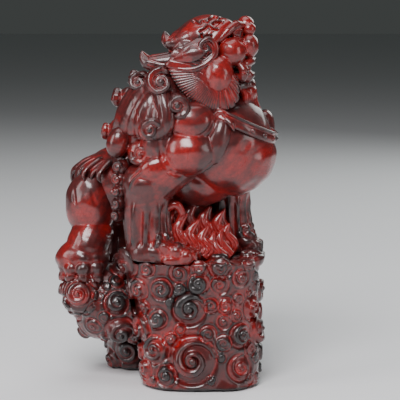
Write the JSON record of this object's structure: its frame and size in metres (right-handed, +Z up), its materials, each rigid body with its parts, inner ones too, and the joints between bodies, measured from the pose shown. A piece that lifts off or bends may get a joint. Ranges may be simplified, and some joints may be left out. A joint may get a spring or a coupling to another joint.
{
  "type": "foo dog statue",
  "caption": "Lacquered guardian lion statue, standing on a tall cloud-scroll rock pedestal with a rear shelf and ball.",
  "frame": {"origin": "middle of the pedestal's footprint, on the surface the statue stands on", "axes": "+Z up, +X the way the dog looks, -Y towards the dog's right side"},
  "size_m": [0.1478, 0.104, 0.2467],
  "materials": {
    "lacquer_rock": "rosewood-red rubbed lacquer on cast resin",
    "lacquer_dark": "near-black lacquer on cast resin",
    "lacquer_coat": "rosewood-red rubbed lacquer on cast resin",
    "lacquer_mane": "dark brown rubbed lacquer on cast resin",
    "lacquer_red": "bright red lacquer on cast resin",
    "felt": "dark green adhesive felt",
    "dowel_wood": "plain beech"
  },
  "bodies": {
    "root": {"pedestal": "lacquer_rock", "rear_shelf_rock": "lacquer_rock", "rear_foot_rock": "lacquer_dark", "scroll_ball": "lacquer_rock", "base_felts": "felt", "torso": "lacquer_coat", "right_foreleg": "lacquer_coat", "left_foreleg": "lacquer_coat", "right_hind_leg": "lacquer_coat", "left_hind_leg": "lacquer_coat", "tail": "lacquer_coat", "head": "lacquer_coat", "lower_jaw": "lacquer_coat", "crest": "lacquer_coat", "right_ear": "lacquer_coat", "left_ear": "lacquer_coat", "nose": "lacquer_coat", "jaw_ruff": "lacquer_coat", "chin_beard": "lacquer_red", "mane": "lacquer_mane", "mane_curls_right": "lacquer_mane", "mane_curls_left": "lacquer_mane", "mane_curls_back": "lacquer_mane", "collar_band": "lacquer_mane", "collar_studs": "lacquer_mane", "elbow_curls_right": "lacquer_coat", "elbow_curls_left": "lacquer_coat", "flame_tuft": "lacquer_red", "paw_dowels": "dowel_wood", "neck_dowel": "dowel_wood", "rock_dowels": "dowel_wood"}
  },
  "joints": []
}
